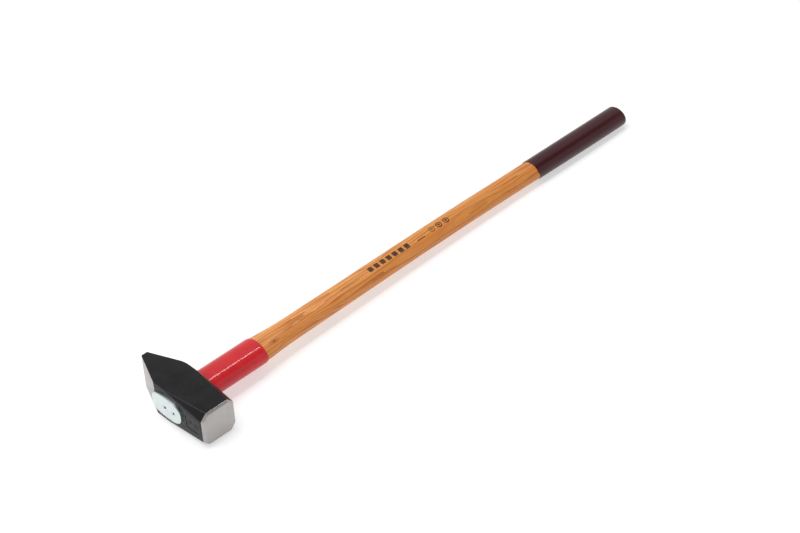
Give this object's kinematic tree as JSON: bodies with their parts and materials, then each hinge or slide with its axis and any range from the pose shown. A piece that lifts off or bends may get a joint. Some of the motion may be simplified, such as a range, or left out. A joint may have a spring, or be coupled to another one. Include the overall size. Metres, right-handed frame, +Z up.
{
  "type": "sledgehammer",
  "caption": "Cross-pein sledgehammer lying on its side: black forged head with ground face and pein, red steel sleeve, long oval wooden handle, dipped grip end.",
  "frame": {"origin": "on the lower cheek of the head, straight below the middle of the eye", "axes": "+X along the handle from the eye to the grip, +Y from the eye to the pein, +Z up out of the upper cheek as the hammer lies on its side"},
  "size_m": [0.9204, 0.157, 0.057],
  "materials": {
    "head_paint": "satin black paint on forged steel; the striking face and the pein's slopes are ground bright",
    "handle_wood": "straight-grained ash or hickory under clear lacquer",
    "wedge_wood": "bare hardwood",
    "wedge_steel": "plain mild steel",
    "sleeve_paint": "gloss red enamel on steel tube",
    "grip_dip": "dipped burgundy lacquer, semi-gloss",
    "plate_zinc": "bright zinc plate, satin",
    "screw_zinc": "zinc plated"
  },
  "bodies": {
    "root": {"head": "head_paint", "handle": "handle_wood", "wood_wedge": "wedge_wood", "ring_wedge": "wedge_steel", "handle_sleeve": "sleeve_paint", "grip_coat": "grip_dip", "safety_plate": "plate_zinc", "first_screw": "screw_zinc", "second_screw": "screw_zinc"}
  },
  "joints": []
}
